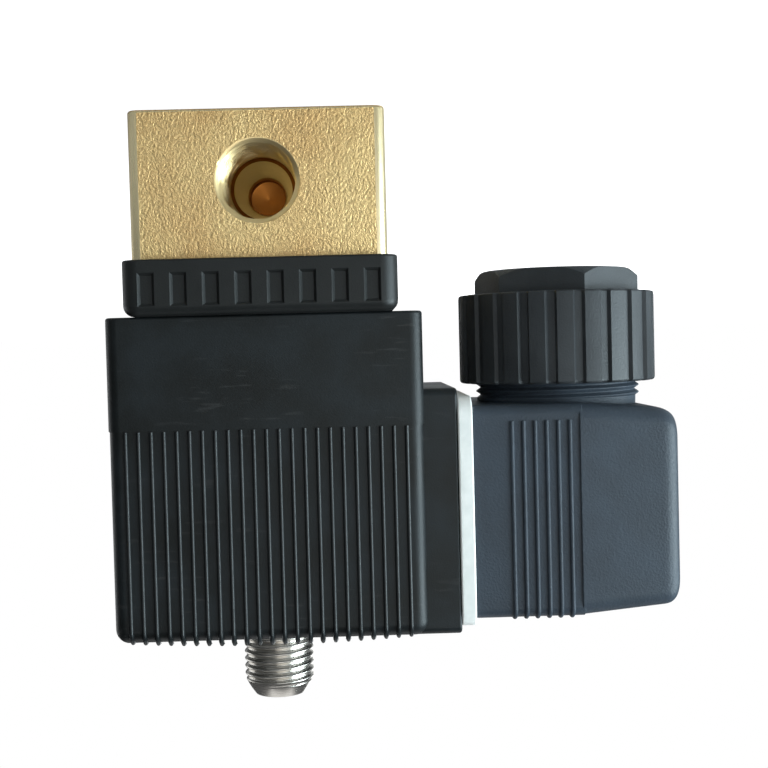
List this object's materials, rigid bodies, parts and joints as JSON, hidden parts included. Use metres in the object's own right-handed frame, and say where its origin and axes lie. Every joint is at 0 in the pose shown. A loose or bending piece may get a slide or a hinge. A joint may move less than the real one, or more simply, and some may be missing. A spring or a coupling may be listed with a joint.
{
  "type": "solenoid valve",
  "caption": "Small direct-acting three-way solenoid valve: square brass body, threaded exhaust stub, ribbed plug-on coil and square cable plug with gland.",
  "frame": {"origin": "centre of the brass body's base face, on the core tube's axis", "axes": "+Z along the core tube towards the exhaust stub, pressure port facing -Y, cable plug on the -X side"},
  "size_m": [0.0727, 0.0344, 0.0773],
  "materials": {
    "cast_brass": "blasted and turned",
    "turned_brass": "turned",
    "black_nylon": "moulded, satin",
    "grey_black_nylon": "moulded, satin",
    "pale_nylon": "moulded",
    "white_rubber": "smooth",
    "black_rubber": "smooth",
    "stainless": "turned",
    "zinc_steel": "plated",
    "copper": "enamelled wire",
    "tinned_brass": "tinned"
  },
  "bodies": {
    "valve": {"valve_body": "cast_brass", "body_o_ring": "black_rubber", "core_tube": "stainless", "flange_plate": "zinc_steel", "flange_screws": "zinc_steel", "base_collar": "black_nylon", "shading_ring": "copper", "pole_piece": "stainless", "coil_nut": "zinc_steel", "coil_washer": "zinc_steel"},
    "plunger": {"armature": "stainless", "lower_seal": "black_rubber", "upper_seal": "black_rubber", "return_spring": "stainless"},
    "coil": {"coil_housing": "black_nylon", "yoke_frame": "zinc_steel", "coil_bobbin": "pale_nylon", "coil_winding": "copper", "line_pins": "tinned_brass", "earth_pin": "tinned_brass", "screw_insert": "turned_brass", "coil_seal": "black_rubber"},
    "plug": {"plug_housing": "grey_black_nylon", "plug_gasket": "white_rubber", "terminal_block": "grey_black_nylon", "contacts": "tinned_brass", "terminal_screws": "zinc_steel", "plug_screw_seal": "black_rubber", "gland_seal": "black_rubber"},
    "captive_screw": {"plug_screw": "zinc_steel"},
    "pressure_washer": {"gland_washer": "zinc_steel"},
    "gland": {"gland_nut": "black_nylon"}
  },
  "joints": [
    {"name": "plunger_lift", "type": "slide", "parent": "valve", "child": "plunger", "axis": [0, 0, 1], "range_m": [0, 0.0008], "stiffness_N_per_m": 400, "springref_m": -0.005, "deforming": ["return_spring"]},
    {"name": "coil_turn", "type": "hinge", "parent": "valve", "child": "coil", "pos_m": [0, 0, 0.046], "axis": [0, 0, 1], "continuous": true},
    {"name": "plug_pull", "type": "slide", "parent": "coil", "child": "plug", "axis": [-1, 0, 0], "range_m": [0, 0.02]},
    {"name": "captive_screw_turn", "type": "hinge", "parent": "plug", "child": "captive_screw", "pos_m": [-0.04, 0, 0.0514], "axis": [-1, 0, 0], "continuous": true},
    {"name": "gland_travel", "type": "slide", "parent": "plug", "child": "pressure_washer", "axis": [0, 0, -1], "range_m": [0, 0.006]},
    {"name": "gland_turn", "type": "hinge", "parent": "pressure_washer", "child": "gland", "pos_m": [-0.03925, 0, 0.03], "axis": [0, 0, -1], "range_deg": [0, 1440]}
  ],
  "couplings": [
    {"joint": "gland_travel", "follows": "gland_turn", "m_per_rad": 0.00023873}
  ]
}
